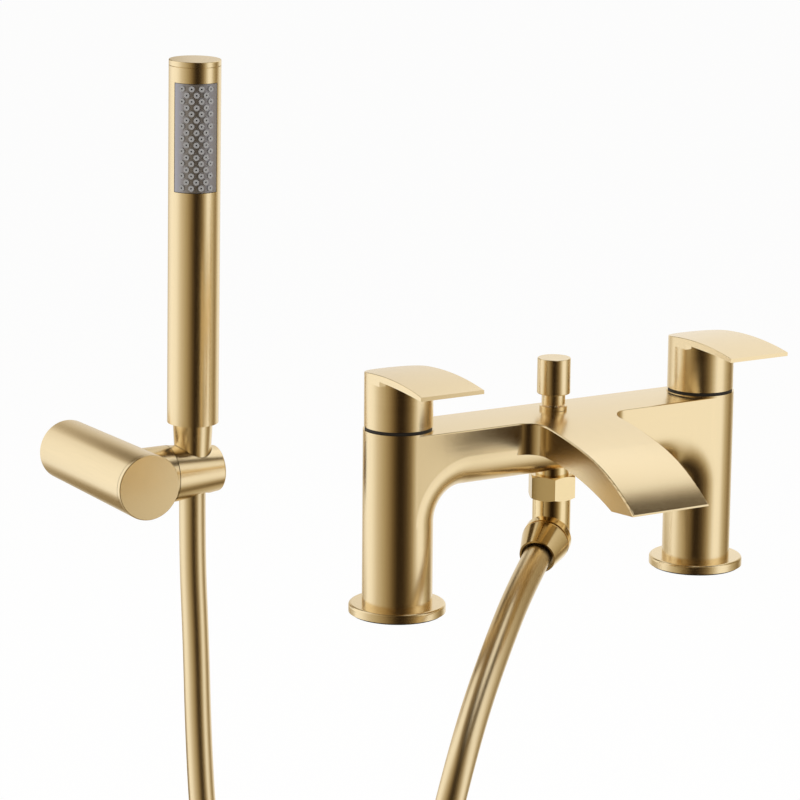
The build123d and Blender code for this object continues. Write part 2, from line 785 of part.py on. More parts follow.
with BuildPart() as union_nut:
    with BuildSketch(Plane.XY.offset(union_bottom)):
        RegularPolygon(union_across_flats / 2, 6, major_radius=False, rotation=union_turn)
    extrude(amount=union_top - union_bottom)
    with BuildSketch(Plane.XY.offset(union_bottom)):
        Circle(union_across_flats / sqrt(3))
    extrude(amount=union_top - union_bottom, mode=Mode.INTERSECT)
    with BuildSketch(Plane.XZ):
        with BuildLine():
            Polyline(
                (0, union_bottom),
                (union_across_flats / 2, union_bottom),
                (union_across_flats / 2 + 2 * union_chamfer, union_bottom + union_chamfer),
                (union_across_flats / 2 + 2 * union_chamfer, union_top - union_chamfer),
                (union_across_flats / 2, union_top),
                (0, union_top),
                close=True,
            )
        make_face()
    revolve(axis=Axis.Z, mode=Mode.INTERSECT)
    with BuildSketch(Plane.XY.offset(union_bottom)):
        Circle(tail_neck_radius + tail_clearance)
    extrude(amount=union_lip_thickness, mode=Mode.SUBTRACT)
    with BuildSketch(Plane.XY.offset(union_bottom + union_lip_thickness)):
        Circle(nipple_radius + nipple_clearance)
    extrude(amount=union_top - union_bottom - union_lip_thickness, mode=Mode.SUBTRACT)
union_nut.part.label = "union_nut"
export_step(union_nut.part, "parts/union_nut.step")

with BuildPart() as outlet_elbow:
    with BuildSketch(Plane.XY.offset(elbow_corner_height)):
        Circle(elbow_radius)
    extrude(amount=union_bottom - seating_gap - elbow_corner_height)
    with BuildSketch(Plane.XY.offset(elbow_corner_height)):
        Circle(tail_neck_radius)
    extrude(amount=tail_bottom - elbow_corner_height)
    with BuildSketch(Plane.XY.offset(tail_bottom)):
        Circle(tail_collar_radius)
    extrude(amount=tail_collar_thickness)
    with Locations((0, 0, elbow_corner_height)):
        Sphere(elbow_radius)
    with BuildSketch(outlet):
        Circle(elbow_radius)
    extrude(amount=elbow_collar_end)
    with BuildSketch(profile_plane(outlet)):
        with BuildLine():
            Polyline(
                (0, 0),
                (elbow_radius, elbow_collar_start - overrun / 2),
                (elbow_collar_radius, elbow_collar_start + overrun / 2),
                (elbow_collar_radius, elbow_collar_end),
                (elbow_spigot_radius, elbow_collar_end),
                (elbow_spigot_radius, elbow_spigot_end),
                (0, elbow_spigot_end),
                close=True,
            )
        make_face()
    revolve(axis=axis_of(outlet))
    with BuildSketch(Plane.XY.offset(elbow_corner_height)):
        Circle(elbow_bore)
    extrude(amount=tail_top - elbow_corner_height, mode=Mode.SUBTRACT)
    with Locations((0, 0, elbow_corner_height)):
        Sphere(elbow_bore, mode=Mode.SUBTRACT)
    with BuildSketch(outlet):
        Circle(elbow_bore)
    extrude(amount=elbow_spigot_end, mode=Mode.SUBTRACT)
    with BuildSketch(outlet.offset(elbow_spigot_end)):
        Circle(check_valve_radius + check_valve_clearance)
    extrude(amount=-check_valve_length, mode=Mode.SUBTRACT)
outlet_elbow.part.label = "outlet_elbow"
export_step(outlet_elbow.part, "parts/outlet_elbow.step")

with BuildPart() as check_valve:
    with BuildSketch(outlet.offset(elbow_spigot_end)):
        Circle(check_valve_radius)
        Circle(check_valve_bore, mode=Mode.SUBTRACT)
        Rectangle(check_valve_web, 2 * check_valve_bore + check_valve_web)
    extrude(amount=seating_gap - check_valve_length)
check_valve.part.label = "check_valve"
export_step(check_valve.part, "parts/check_valve.step")

# Hose fittings at the mixer end
with BuildPart() as hose_mixer_washer:
    with BuildSketch(outlet.offset(mixer_washer_start)):
        Circle(elbow_spigot_radius)
        Circle(hose_washer_bore, mode=Mode.SUBTRACT)
    extrude(amount=hose_washer_thickness)
hose_mixer_washer.part.label = "hose_mixer_washer"
export_step(hose_mixer_washer.part, "parts/hose_mixer_washer.step")

with BuildPart() as hose_mixer_ferrule:
    with BuildSketch(outlet.offset(mixer_ferrule_start)):
        Circle(elbow_spigot_radius)
    extrude(amount=ferrule_flange_thickness)
    with BuildSketch(outlet.offset(mixer_ferrule_start)):
        Circle(ferrule_sleeve_radius)
    extrude(amount=mixer_ferrule_length)
    with BuildSketch(outlet.offset(mixer_ferrule_start)):
        Circle(ferrule_bore)
    extrude(amount=mixer_ferrule_length, mode=Mode.SUBTRACT)
hose_mixer_ferrule.part.label = "hose_mixer_ferrule"
export_step(hose_mixer_ferrule.part, "parts/hose_mixer_ferrule.step")

with BuildPart() as hose_mixer_nut:
    with BuildSketch(profile_plane(outlet)):
        with BuildLine():
            Polyline(
                (mixer_nut_bore, mixer_nut_start),
                (mixer_nut_radius, mixer_nut_start),
                (mixer_nut_mouth_radius, mixer_nut_end),
                (mixer_nut_mouth_bore, mixer_nut_end),
                (mixer_nut_mouth_bore, mixer_nut_step),
                (mixer_nut_bore, mixer_nut_step),
                close=True,
            )
        make_face()
    revolve(axis=axis_of(outlet))
    fillet(hose_mixer_nut.edges().filter_by(GeomType.CIRCLE).sort_by(SortBy.RADIUS)[-1], mixer_nut_round)
hose_mixer_nut.part.label = "hose_mixer_nut"
export_step(hose_mixer_nut.part, "parts/hose_mixer_nut.step")


# Hose: each bend's arc is as large as its two runs allow
def hose_radii(route):
    radii = []
    for before, corner, after in zip(route, route[1:], route[2:]):
        turn = (corner - before).get_angle(after - corner)
        shorter = min((corner - before).length, (after - corner).length)
        radii.append(0.45 * shorter / tan(radians(turn) / 2))
    return radii


coil_pitch_half = coil_shift * coil_quarter_turns / 8
coil_front = Vector(coil_place[0] - coil_pitch_half, coil_place[1] - coil_radius, coil_place[2])
coil_back = Vector(coil_place[0] + coil_pitch_half, coil_place[1] + coil_radius, coil_place[2])
coil_rise = Vector(0, 0, 2 * hose_radius)

mixer_route = [
    outlet.origin + outlet.z_dir * mixer_ferrule_end,
    outlet.origin + outlet.z_dir * 54.0,
    Vector(-66.0, -56.0, -3.0),
    Vector(-93.5, -79.0, -25.0),
    Vector(-117.0, -99.0, -51.0),
    Vector(-133.0, -109.0, -83.0),
    Vector(-144.0, -110.0, -117.0),
    Vector(-149.5, -100.0, -150.0),
    Vector(-151.4, -84.0, -182.0),
    Vector(-151.8, -67.5, -212.0),
    Vector(coil_front.X, coil_front.Y, -242.0),
    coil_front + coil_rise,
]
handset_route = [
    handset.origin + handset.z_dir * handset_ferrule_start,
    handset.origin - handset.z_dir * 43.0,
    Vector(-114.0, 166.0, -55.0),
    Vector(-120.0, 152.5, -101.0),
    Vector(-127.0, 134.0, -146.0),
    Vector(-128.0, 117.0, -188.0),
    Vector(coil_back.X, coil_back.Y, -232.0),
    coil_back + coil_rise,
]
hose_length = 0
for name, route in (("hose_mixer_stretch", mixer_route), ("hose_handset_stretch", handset_route)):
    radii = hose_radii(route)
    print(name, "radii", [round(radius) for radius in radii])
    with BuildPart() as stretch:
        with BuildLine() as route_line:
            FilletPolyline(*route, radius=radii)
        with BuildSketch(Plane(origin=route_line.line @ 0, z_dir=route_line.line % 0)):
            Circle(hose_radius)
        sweep()
    hose_length += route_line.wire().length
    print(name, "volume", stretch.part.volume, "section times length", pi * hose_radius**2 * route_line.wire().length)
    stretch.part.label = name
    export_step(stretch.part, f"parts/{name}.step")

# The rest of the hose hangs in a coil: each quarter turn is two arcs that share their tangent
coil_arcs = []
for quarter in range(coil_quarter_turns):
    ends = []
    for step in (quarter, quarter + 1):
        turn = pi / 2 * step
        place = Vector(
            coil_front.X + coil_shift * step / 4,
            coil_place[1] - coil_radius * cos(turn),
            coil_place[2] - coil_radius * sin(turn),
        )
        lean = 0 if step in (0, coil_quarter_turns) else coil_shift / (2 * pi)
        way = Vector(lean, coil_radius * sin(turn), -coil_radius * cos(turn)).normalized()
        ends.append((place, way))
    (first, first_way), (last, last_way) = ends
    span = last - first
    along = span.dot(first_way + last_way)
    spread = 2 * (1 - first_way.dot(last_way))
    reach = (sqrt(along**2 + spread * span.dot(span)) - along) / spread
    joint = (first + last + (first_way - last_way) * reach) * 0.5
    coil_arcs.append((first, joint, first_way))
    coil_arcs.append((joint, last, (joint - first - first_way * reach).normalized()))

with BuildPart() as hose_coil:
    with BuildLine() as coil_line:
        Line(coil_front + coil_rise, coil_front)
        for start, end, way in coil_arcs:
            TangentArc(start, end, tangent=way)
        Line(coil_back, coil_back + coil_rise)
    with BuildSketch(Plane(origin=coil_front + coil_rise, z_dir=(0, 0, -1))):
        Circle(hose_radius)
    sweep()
hose_coil.part.label = "hose_coil"
export_step(hose_coil.part, "parts/hose_coil.step")
hose_length += coil_line.wire().length
coil_points = [coil_line.wire() @ (count / 400) for count in range(401)]
coil_gap = min(
    (one - other).length
    for index, one in enumerate(coil_points)
    for other in coil_points[index + 60 :]
) - 2 * hose_radius
print("coil least gap", coil_gap, "volume", hose_coil.part.volume, "of", pi * hose_radius**2 * coil_line.wire().length)
print("hose length", hose_length)

# Tie round the two strands at the back of the coil
strand_gap = coil_shift - 2 * hose_radius
with BuildPart() as hose_tie:
    with BuildSketch(Plane.XY.offset(coil_place[2] - tie_width / 2)):
        with Locations((coil_back.X - coil_shift / 2, coil_back.Y)):
            SlotCenterToCenter(coil_shift, 2 * (hose_radius + tie_clearance + tie_thickness))
            SlotCenterToCenter(coil_shift, 2 * (hose_radius + tie_clearance), mode=Mode.SUBTRACT)
            Rectangle(strand_gap - 2 * tie_clearance, 2 * (hose_radius + tie_clearance))
    extrude(amount=tie_width)
hose_tie.part.label = "hose_tie"
export_step(hose_tie.part, "parts/hose_tie.step")

# Wall bracket
with BuildPart() as bracket_barrel:
    with BuildSketch(profile_plane(barrel)):
        with BuildLine():
            Polyline(
                (barrel_front_radius, 0),
                (barrel_rear_radius, barrel_length),
                (barrel_rear_radius - barrel_wall, barrel_length),
                (barrel_front_radius - barrel_wall, 0),
                close=True,
            )
        make_face()
    revolve(axis=axis_of(barrel))
    with BuildSketch(Plane((barrel_offset, wall_distance - grub_screw_place, bracket_height))):
        Circle(grub_screw_radius + grub_screw_clearance)
    extrude(amount=-barrel_front_radius, mode=Mode.SUBTRACT)
    with BuildSketch(arm.offset(barrel_offset)):
        Circle(pivot_screw_radius)
    extrude(amount=barrel_front_radius, mode=Mode.SUBTRACT)
bracket_barrel.part.label = "bracket_barrel"
export_step(bracket_barrel.part, "parts/bracket_barrel.step")

cap_plug_radius = barrel_front_radius - barrel_wall - barrel_slope_share * front_cap_plug_length - plug_clearance
with BuildPart() as bracket_front_cap:
    with BuildSketch(barrel.offset(-front_cap_gap)):
        Circle(barrel_front_radius)
    extrude(amount=-front_cap_thickness)
    fillet(bracket_front_cap.edges().group_by(Axis.Y)[0], front_cap_round)
    with BuildSketch(barrel.offset(-front_cap_gap)):
        Circle(cap_plug_radius)
        Circle(cap_plug_radius - front_cap_plug_wall, mode=Mode.SUBTRACT)
    extrude(amount=front_cap_gap + front_cap_plug_length)
bracket_front_cap.part.label = "bracket_front_cap"
export_step(bracket_front_cap.part, "parts/bracket_front_cap.step")

plate_outer = barrel_rear_radius - barrel_wall - plug_clearance
with BuildPart() as wall_plate:
    with BuildSketch(barrel.offset(barrel_length)):
        Circle(plate_outer)
    extrude(amount=-wall_plate_length)
    with BuildSketch(barrel.offset(barrel_length - wall_plate_floor)):
        Circle(plate_outer - wall_plate_wall)
    extrude(amount=wall_plate_floor - wall_plate_length, mode=Mode.SUBTRACT)
    with BuildSketch(barrel.offset(barrel_length)):
        with Locations((-wall_screw_spacing / 2, 0), (wall_screw_spacing / 2, 0)):
            Circle(wall_screw_hole_radius)
    extrude(amount=-wall_plate_floor, mode=Mode.SUBTRACT)
wall_plate.part.label = "wall_plate"
export_step(wall_plate.part, "parts/wall_plate.step")

with BuildPart() as barrel_grub_screw:
    grub_top = bracket_height - plate_outer - seating_gap
    with BuildSketch(Plane((barrel_offset, wall_distance - grub_screw_place, grub_top))):
        Circle(grub_screw_radius)
    extrude(amount=-barrel_wall + grub_screw_clearance)
    with BuildSketch(Plane((barrel_offset, wall_distance - grub_screw_place, grub_top - barrel_wall))):
        RegularPolygon(grub_screw_hex, 6)
    extrude(amount=barrel_wall / 2, mode=Mode.SUBTRACT)
barrel_grub_screw.part.label = "barrel_grub_screw"
export_step(barrel_grub_screw.part, "parts/barrel_grub_screw.step")

# Arm, its friction washer and the screw that the holder turns on
with BuildPart() as bracket_arm:
    with BuildSketch(arm.offset(barrel_offset)):
        Circle(arm_radius)
    extrude(amount=arm_end - barrel_offset)
    with BuildSketch(profile_plane(barrel)):
        with BuildLine():
            Polyline(
                (0, 0),
                (barrel_front_radius + arm_seat_gap, 0),
                (barrel_rear_radius + arm_seat_gap, barrel_length),
                (0, barrel_length),
                close=True,
            )
        make_face()
    revolve(axis=axis_of(barrel), mode=Mode.SUBTRACT)
    with BuildSketch(arm.offset(arm_end)):
        Circle(pivot_washer_radius + pivot_gap)
    extrude(amount=-pivot_washer_inset, mode=Mode.SUBTRACT)
    with BuildSketch(arm.offset(arm_end)):
        Circle(pivot_screw_radius)
    extrude(amount=pivot_head_start - arm_end - pivot_screw_length, mode=Mode.SUBTRACT)
bracket_arm.part.label = "bracket_arm"
export_step(bracket_arm.part, "parts/bracket_arm.step")

with BuildPart() as friction_washer:
    with BuildSketch(arm.offset(washer_start)):
        Circle(pivot_washer_radius)
        Circle(pivot_screw_radius + pivot_clearance, mode=Mode.SUBTRACT)
    extrude(amount=pivot_washer_thickness)
friction_washer.part.label = "friction_washer"
export_step(friction_washer.part, "parts/friction_washer.step")

with BuildPart() as pivot_screw:
    with BuildSketch(arm.offset(pivot_head_start)):
        Circle(pivot_screw_radius)
    extrude(amount=-pivot_screw_length)
    with BuildSketch(arm.offset(pivot_head_start)):
        Circle(pivot_head_radius)
    extrude(amount=pivot_head_thickness / 2)
pivot_screw.part.label = "pivot_screw"
export_step(pivot_screw.part, "parts/pivot_screw.step")

with BuildPart() as holder:
    with BuildSketch(profile_plane(arm)):
        with BuildLine():
            Polyline(
                (0, holder_start),
                (arm_radius, holder_start),
                (holder_end_radius, holder_end),
                (0, holder_end),
                close=True,
            )
        make_face()
    revolve(axis=axis_of(arm))
    fillet(holder.edges().filter_by(GeomType.CIRCLE).sort_by(Axis.X)[-1], holder_end_round)
    with BuildSketch(profile_plane(handset)):
        with BuildLine():
            Polyline(
                (0, -arm_radius - overrun),
                (socket_radius - socket_slope_share * (arm_radius + overrun), -arm_radius - overrun),
                (socket_radius + socket_slope_share * (arm_radius + overrun), arm_radius + overrun),
                (0, arm_radius + overrun),
                close=True,
            )
        make_face()
    revolve(axis=axis_of(handset), mode=Mode.SUBTRACT)
    with BuildSketch(arm.offset(holder_start)):
        Circle(pivot_screw_radius + pivot_clearance)
    extrude(amount=pivot_head_start - holder_start, mode=Mode.SUBTRACT)
    with BuildSketch(arm.offset(pivot_head_start)):
        Circle(pivot_head_radius + pivot_clearance)
    extrude(amount=pivot_head_thickness + overrun, mode=Mode.SUBTRACT)
    with BuildSketch(Plane(handset.origin, x_dir=(1, 0, 0), z_dir=handset.z_dir).offset(-arm_radius - overrun)):
        with Locations((0, arm_radius)):
            Rectangle(holder_slot_width, 2 * arm_radius)
    extrude(amount=2 * arm_radius + 2 * overrun, mode=Mode.SUBTRACT)
holder.part.label = "holder"
export_step(holder.part, "parts/holder.step")

# Hose fittings at the handset end
with BuildPart() as hose_handset_nut:
    with BuildSketch(profile_plane(handset)):
        with BuildLine():
            Polyline(
                (handset_nut_bore, handset_nut_bottom),
                (handset_nut_bottom_radius, handset_nut_bottom),
                (handset_nut_radius, handset_nut_taper_top),
                (handset_nut_radius, handset_nut_top),
                (handset_nut_thread_radius, handset_nut_top),
                (handset_nut_thread_radius, handset_nut_step),
                (handset_nut_bore, handset_nut_step),
                close=True,
            )
        make_face()
    revolve(axis=axis_of(handset))
hose_handset_nut.part.label = "hose_handset_nut"
export_step(hose_handset_nut.part, "parts/hose_handset_nut.step")

flange_fit = handset_nut_thread_radius - thread_clearance
with BuildPart() as hose_handset_ferrule:
    with BuildSketch(handset.offset(handset_ferrule_start)):
        Circle(ferrule_sleeve_radius)
    extrude(amount=handset_flange_start - handset_ferrule_start)
    with BuildSketch(handset.offset(handset_flange_start)):
        Circle(flange_fit)
    extrude(amount=ferrule_flange_thickness)
    with BuildSketch(handset.offset(handset_ferrule_start)):
        Circle(ferrule_bore)
    extrude(
        amount=handset_flange_start + ferrule_flange_thickness - handset_ferrule_start,
        mode=Mode.SUBTRACT,
    )
hose_handset_ferrule.part.label = "hose_handset_ferrule"
export_step(hose_handset_ferrule.part, "parts/hose_handset_ferrule.step")

with BuildPart() as handset_washer:
    with BuildSketch(handset.offset(handset_washer_start)):
        Circle(flange_fit)
        Circle(hose_washer_bore, mode=Mode.SUBTRACT)
    extrude(amount=hose_washer_thickness)
handset_washer.part.label = "handset_washer"
export_step(handset_washer.part, "parts/handset_washer.step")

with BuildPart() as handset_connector:
    with BuildSketch(handset.offset(connector_start)):
        Circle(flange_fit)
    extrude(amount=connector_end - connector_start)
    with BuildSketch(handset.offset(connector_flange)):
        Circle(tube_bore - plug_clearance)
    extrude(amount=connector_flange_length)
    with BuildSketch(handset.offset(connector_start)):
        Circle(connector_bore)
    extrude(amount=connector_end - connector_start, mode=Mode.SUBTRACT)
handset_connector.part.label = "handset_connector"
export_step(handset_connector.part, "parts/handset_connector.step")

# Handset
window_reach = 2 * handset_radius


def window_wedge(half_angle):
    # The corners of a wedge from the handset's axis out past its wall, in the spray's direction
    across = window_reach * sin(radians(half_angle))
    out = -window_reach * cos(radians(half_angle))
    return ((0, 0), (across, out), (across, -window_reach), (-across, -window_reach), (-across, out))


plate_half_angle = window_half_angle - window_gap / handset_radius * 180 / pi
with BuildPart() as handset_tube:
    with BuildSketch(handset.offset(handset_bottom)):
        Circle(handset_radius)
        Circle(tube_bore, mode=Mode.SUBTRACT)
    extrude(amount=handset_top - handset_bottom)
    with BuildSketch(handset.offset(window_bottom)):
        Polygon(*window_wedge(window_half_angle), align=None)
    extrude(amount=window_top - window_bottom, mode=Mode.SUBTRACT)
handset_tube.part.label = "handset_tube"
export_step(handset_tube.part, "parts/handset_tube.step")

with BuildPart() as handset_end_cap:
    with BuildSketch(handset.offset(cap_start)):
        Circle(handset_radius)
    extrude(amount=end_cap_thickness)
    fillet(handset_end_cap.edges().group_by(Axis.Z)[-1], end_cap_round)
    with BuildSketch(handset.offset(cap_plug_start)):
        Circle(tube_bore - plug_clearance)
        Circle(tube_bore - plug_clearance - end_cap_plug_wall, mode=Mode.SUBTRACT)
    extrude(amount=cap_start - cap_plug_start)
handset_end_cap.part.label = "handset_end_cap"
export_step(handset_end_cap.part, "parts/handset_end_cap.step")

nozzle_places = []
for row in range(nozzle_rows):
    count = 4 if row % 2 == 0 else 3
    height = window_middle + (row - (nozzle_rows - 1) / 2) * nozzle_row_pitch
    for place in range(count):
        nozzle_places.append((height, (place - (count - 1) / 2) * nozzle_angle_pitch))
nozzle_planes = [
    Plane(handset.location * Location((0, 0, height), (0, 0, angle)) * Location((0, 0, 0), (90.0, 0, 0)))
    for height, angle in nozzle_places
]

with BuildPart() as spray_plate:
    with BuildSketch(handset.offset(window_bottom + window_gap)):
        Circle(plate_radius)
        Circle(plate_radius - spray_plate_thickness, mode=Mode.SUBTRACT)
        Polygon(*window_wedge(plate_half_angle), align=None, mode=Mode.INTERSECT)
    extrude(amount=window_top - window_bottom - 2 * window_gap)
    for nozzle_plane in nozzle_planes:
        with BuildSketch(nozzle_plane.offset(mat_radius - nozzle_mat_thickness)):
            Circle(nozzle_hole_radius)
        extrude(amount=handset_radius - mat_radius + nozzle_mat_thickness, mode=Mode.SUBTRACT)
spray_plate.part.label = "spray_plate"
export_step(spray_plate.part, "parts/spray_plate.step")

with BuildPart() as spray_nozzles:
    with BuildSketch(handset.offset(window_bottom + window_gap)):
        Circle(mat_radius)
        Circle(mat_radius - nozzle_mat_thickness, mode=Mode.SUBTRACT)
        Polygon(*window_wedge(plate_half_angle), align=None, mode=Mode.INTERSECT)
    extrude(amount=window_top - window_bottom - 2 * window_gap)
    for nozzle_plane in nozzle_planes:
        with BuildSketch(nozzle_plane.offset(mat_radius - nozzle_mat_thickness / 2)):
            Circle(nozzle_stem_radius)
        extrude(amount=plate_radius + seating_gap - mat_radius + nozzle_mat_thickness / 2)
        with BuildSketch(nozzle_plane.offset(plate_radius + seating_gap)):
            Circle(nozzle_ring_radius)
        extrude(amount=nozzle_ring_height)
        with BuildSketch(nozzle_plane.offset(mat_radius - nozzle_mat_thickness - nozzle_mat_gap)):
            Circle(nozzle_bore_radius)
        extrude(amount=2 * handset_wall + nozzle_mat_thickness + nozzle_ring_height, mode=Mode.SUBTRACT)
spray_nozzles.part.label = "spray_nozzles"
export_step(spray_nozzles.part, "parts/spray_nozzles.step")

with BuildPart() as water_tube:
    with BuildSketch(handset.offset(connector_end)):
        Circle(water_tube_radius)
        Circle(water_tube_radius - water_tube_wall, mode=Mode.SUBTRACT)
    extrude(amount=cap_plug_start - connector_end)
    with BuildSketch(handset.offset(cap_plug_start)):
        Circle(water_tube_radius)
    extrude(amount=-water_tube_wall)
    with BuildSketch(handset.offset(window_bottom + water_tube_window_margin)):
        Polygon(*window_wedge(window_half_angle / 2), align=None)
    extrude(amount=window_top - window_bottom - 2 * water_tube_window_margin, mode=Mode.SUBTRACT)
water_tube.part.label = "water_tube"
export_step(water_tube.part, "parts/water_tube.step")
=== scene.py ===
import json
import math

import bpy
import numpy as np
from mathutils import Matrix, Vector


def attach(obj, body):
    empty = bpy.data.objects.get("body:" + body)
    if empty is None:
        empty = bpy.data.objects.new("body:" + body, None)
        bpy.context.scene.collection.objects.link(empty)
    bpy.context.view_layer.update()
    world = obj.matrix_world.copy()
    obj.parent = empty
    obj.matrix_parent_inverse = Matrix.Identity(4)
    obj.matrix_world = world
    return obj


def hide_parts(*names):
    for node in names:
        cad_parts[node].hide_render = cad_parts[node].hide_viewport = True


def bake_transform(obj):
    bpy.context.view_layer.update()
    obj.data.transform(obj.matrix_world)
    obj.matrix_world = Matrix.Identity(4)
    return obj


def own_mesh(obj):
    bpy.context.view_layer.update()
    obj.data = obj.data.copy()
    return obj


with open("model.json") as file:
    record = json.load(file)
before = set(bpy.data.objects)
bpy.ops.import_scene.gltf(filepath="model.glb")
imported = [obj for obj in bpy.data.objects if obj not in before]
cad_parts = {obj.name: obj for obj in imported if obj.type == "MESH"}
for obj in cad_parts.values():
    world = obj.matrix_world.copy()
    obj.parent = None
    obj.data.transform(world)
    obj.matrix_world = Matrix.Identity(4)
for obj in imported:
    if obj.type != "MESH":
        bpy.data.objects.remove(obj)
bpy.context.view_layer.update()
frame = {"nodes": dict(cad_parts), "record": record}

# Bath shower mixer in satin brushed brass, in metres. X is along the bridge, Y towards the wall, Z up.
scene = bpy.context.scene
scene.view_settings.view_transform = "Standard"


def addObject(name, data):
    # A new object of the scene, at the origin
    thing = bpy.data.objects.new(name, data)
    scene.collection.objects.link(thing)
    return thing


# Camera
cameraSettings = {
    "place": (-0.92173, -1.37128, 0.46799),
    "yaw": 31.26,           # degrees from +Y towards +X
    "pitch": 12.70,         # degrees below the horizon
    "roll": -0.49,
    "lens": 153.0,          # millimetres, as the sensor's width is
    "sensorWidth": 36.0,
    "nearest": 0.05,        # what is nearer to the camera doesn't show
}


def makeCamera(settings):
    # forward = (sin yaw cos pitch, cos yaw cos pitch, -sin pitch), then right and up are rolled about it
    yaw, pitch, roll = (math.radians(settings[key]) for key in ("yaw", "pitch", "roll"))
    forward = Vector((math.sin(yaw) * math.cos(pitch), math.cos(yaw) * math.cos(pitch), -math.sin(pitch)))
    right = Vector((math.cos(yaw), -math.sin(yaw), 0))
    up = right.cross(forward)
    right, up = right * math.cos(roll) - up * math.sin(roll), up * math.cos(roll) + right * math.sin(roll)
    camera = bpy.data.cameras.new("photoCamera")
    camera.lens = settings["lens"]
    camera.sensor_width = settings["sensorWidth"]
    camera.clip_start = settings["nearest"]
    turn = Matrix((right, up, -forward)).transposed()
    cameraObject = addObject("photoCamera", camera)
    cameraObject.matrix_world = Matrix.Translation(settings["place"]) @ turn.to_4x4()
    scene.camera = cameraObject
    return forward


viewForward = makeCamera(cameraSettings)
print("camera made")

# Hose
hose = {
    "radius": 0.007,
    "sides": 40,
    "outletCorner": (0, 0, 0.0295),                     # where the elbow's two bores meet
    "outletAxis": (-0.73059, -0.61304, -0.30071),       # out of the elbow
    "outletEnd": 0.0215,        # from the corner to the hose's end, along that axis
    "outletLead": 0.054,        # and to the point that the hose leaves straight towards
    "handsetFoot": (-0.1135, 0.1699, 0.0375),
    "handsetAxis": (0, -0.024083, 0.99971),             # up the handset
    "handsetEnd": 0.0025,       # from the handset's foot down to the hose's end
    "handsetLead": 0.043,       # and to the point that it comes straight from
    "mixerRoute": [
        (-0.066, -0.056, -0.003),
        (-0.0935, -0.079, -0.025),
        (-0.117, -0.099, -0.051),
        (-0.133, -0.109, -0.083),
        (-0.144, -0.110, -0.117),
        (-0.1495, -0.100, -0.150),
        (-0.1514, -0.084, -0.182),
        (-0.1518, -0.0675, -0.212),
        (-0.151875, -0.055, -0.242),
        (-0.151875, -0.055, -0.274),
    ],
    "handsetRoute": [
        (-0.121125, 0.105, -0.274),
        (-0.121125, 0.105, -0.232),
        (-0.128, 0.117, -0.188),
        (-0.127, 0.134, -0.146),
        (-0.120, 0.1525, -0.101),
        (-0.114, 0.166, -0.055),
    ],
    "coilPlace": (-0.1365, 0.025, -0.288),
    "coilRadius": 0.080,
    "coilShift": 0.0205,        # along X in one turn
    "coilTurns": 1.5,
    "pointsPerTurn": 12,
    "riseStart": -0.262,        # height at which the length that runs between coil and holder starts
    "topStart": -0.055,         # height at which the length that ends in the handset starts
    "splineOrder": 3,
    "stepsPerPoint": 24,
    "closest": 1e-6,            # points of the line that are nearer to each other than this are one
}
sharpAngle = math.radians(50)   # edges sharper than this stay crisp


def onAxis(start, axis, distance):
    # start + distance x axis
    return Vector(start) + Vector(axis) * distance


def hosePoints(settings):
    # Coil point k is at angle a = 2 pi (k + 1/2) / n, on a circle wide enough for the spline to run on the radius
    perTurn = settings["pointsPerTurn"]
    count = int(settings["coilTurns"] * perTurn)
    step = 2 * math.pi / perTurn
    wide = settings["coilRadius"] / math.cos(step / 2)
    centre = settings["coilPlace"]
    turns = [
        (
            centre[0] + settings["coilShift"] * ((k + 0.5) / perTurn - settings["coilTurns"] / 2),
            centre[1] - wide * math.cos(step * (k + 0.5)),
            centre[2] - wide * math.sin(step * (k + 0.5)),
        )
        for k in range(count)
    ]
    corner, outward = settings["outletCorner"], settings["outletAxis"]
    foot, upward = settings["handsetFoot"], settings["handsetAxis"]
    points = [onAxis(corner, outward, settings[key]) for key in ("outletEnd", "outletLead")]
    points += settings["mixerRoute"] + turns + settings["handsetRoute"]
    points += [onAxis(foot, upward, -settings[key]) for key in ("handsetLead", "handsetEnd")]
    return points


def splineLine(name, points, settings):
    # The points that a smooth spline runs through, read from the curve itself
    curve = bpy.data.curves.new(name, "CURVE")
    curve.dimensions = "3D"
    spline = curve.splines.new("NURBS")
    spline.points.add(len(points) - 1)
    for point, place in zip(spline.points, points):
        point.co = (*place, 1)
    spline.order_u = settings["splineOrder"]
    spline.use_endpoint_u = True
    spline.resolution_u = settings["stepsPerPoint"]
    holder = bpy.data.objects.new(name, curve)
    line = bpy.data.meshes.new_from_object(holder)
    places = np.empty(len(line.vertices) * 3)
    line.vertices.foreach_get("co", places)
    bpy.data.objects.remove(holder)
    bpy.data.meshes.remove(line)
    places = places.reshape(-1, 3)
    gaps = np.linalg.norm(np.diff(places, axis=0), axis=1)
    return places[np.concatenate(([True], gaps > settings["closest"]))]


def gridMesh(name, rows, closedAcross=True):
    # rows is an array (along, across, 3): faces join each point to the next one along and across, and a grid that
    # is closed across gets a face at each end
    along, across = rows.shape[:2]
    index = np.arange(along * across).reshape(along, across)
    nxt = np.roll(index, -1, axis=1) if closedAcross else index[:, 1:]
    here = index if closedAcross else index[:, :-1]
    faces = np.stack((here[:-1], nxt[:-1], nxt[1:], here[1:]), axis=-1).reshape(-1, 4).tolist()
    if closedAcross:
        faces += [index[0, ::-1].tolist(), index[-1].tolist()]
    mesh = bpy.data.meshes.new(name)
    mesh.from_pydata(rows.reshape(-1, 3).tolist(), [], faces)
    mesh.shade_smooth()
    mesh.set_sharp_from_angle(angle=sharpAngle)
    return mesh


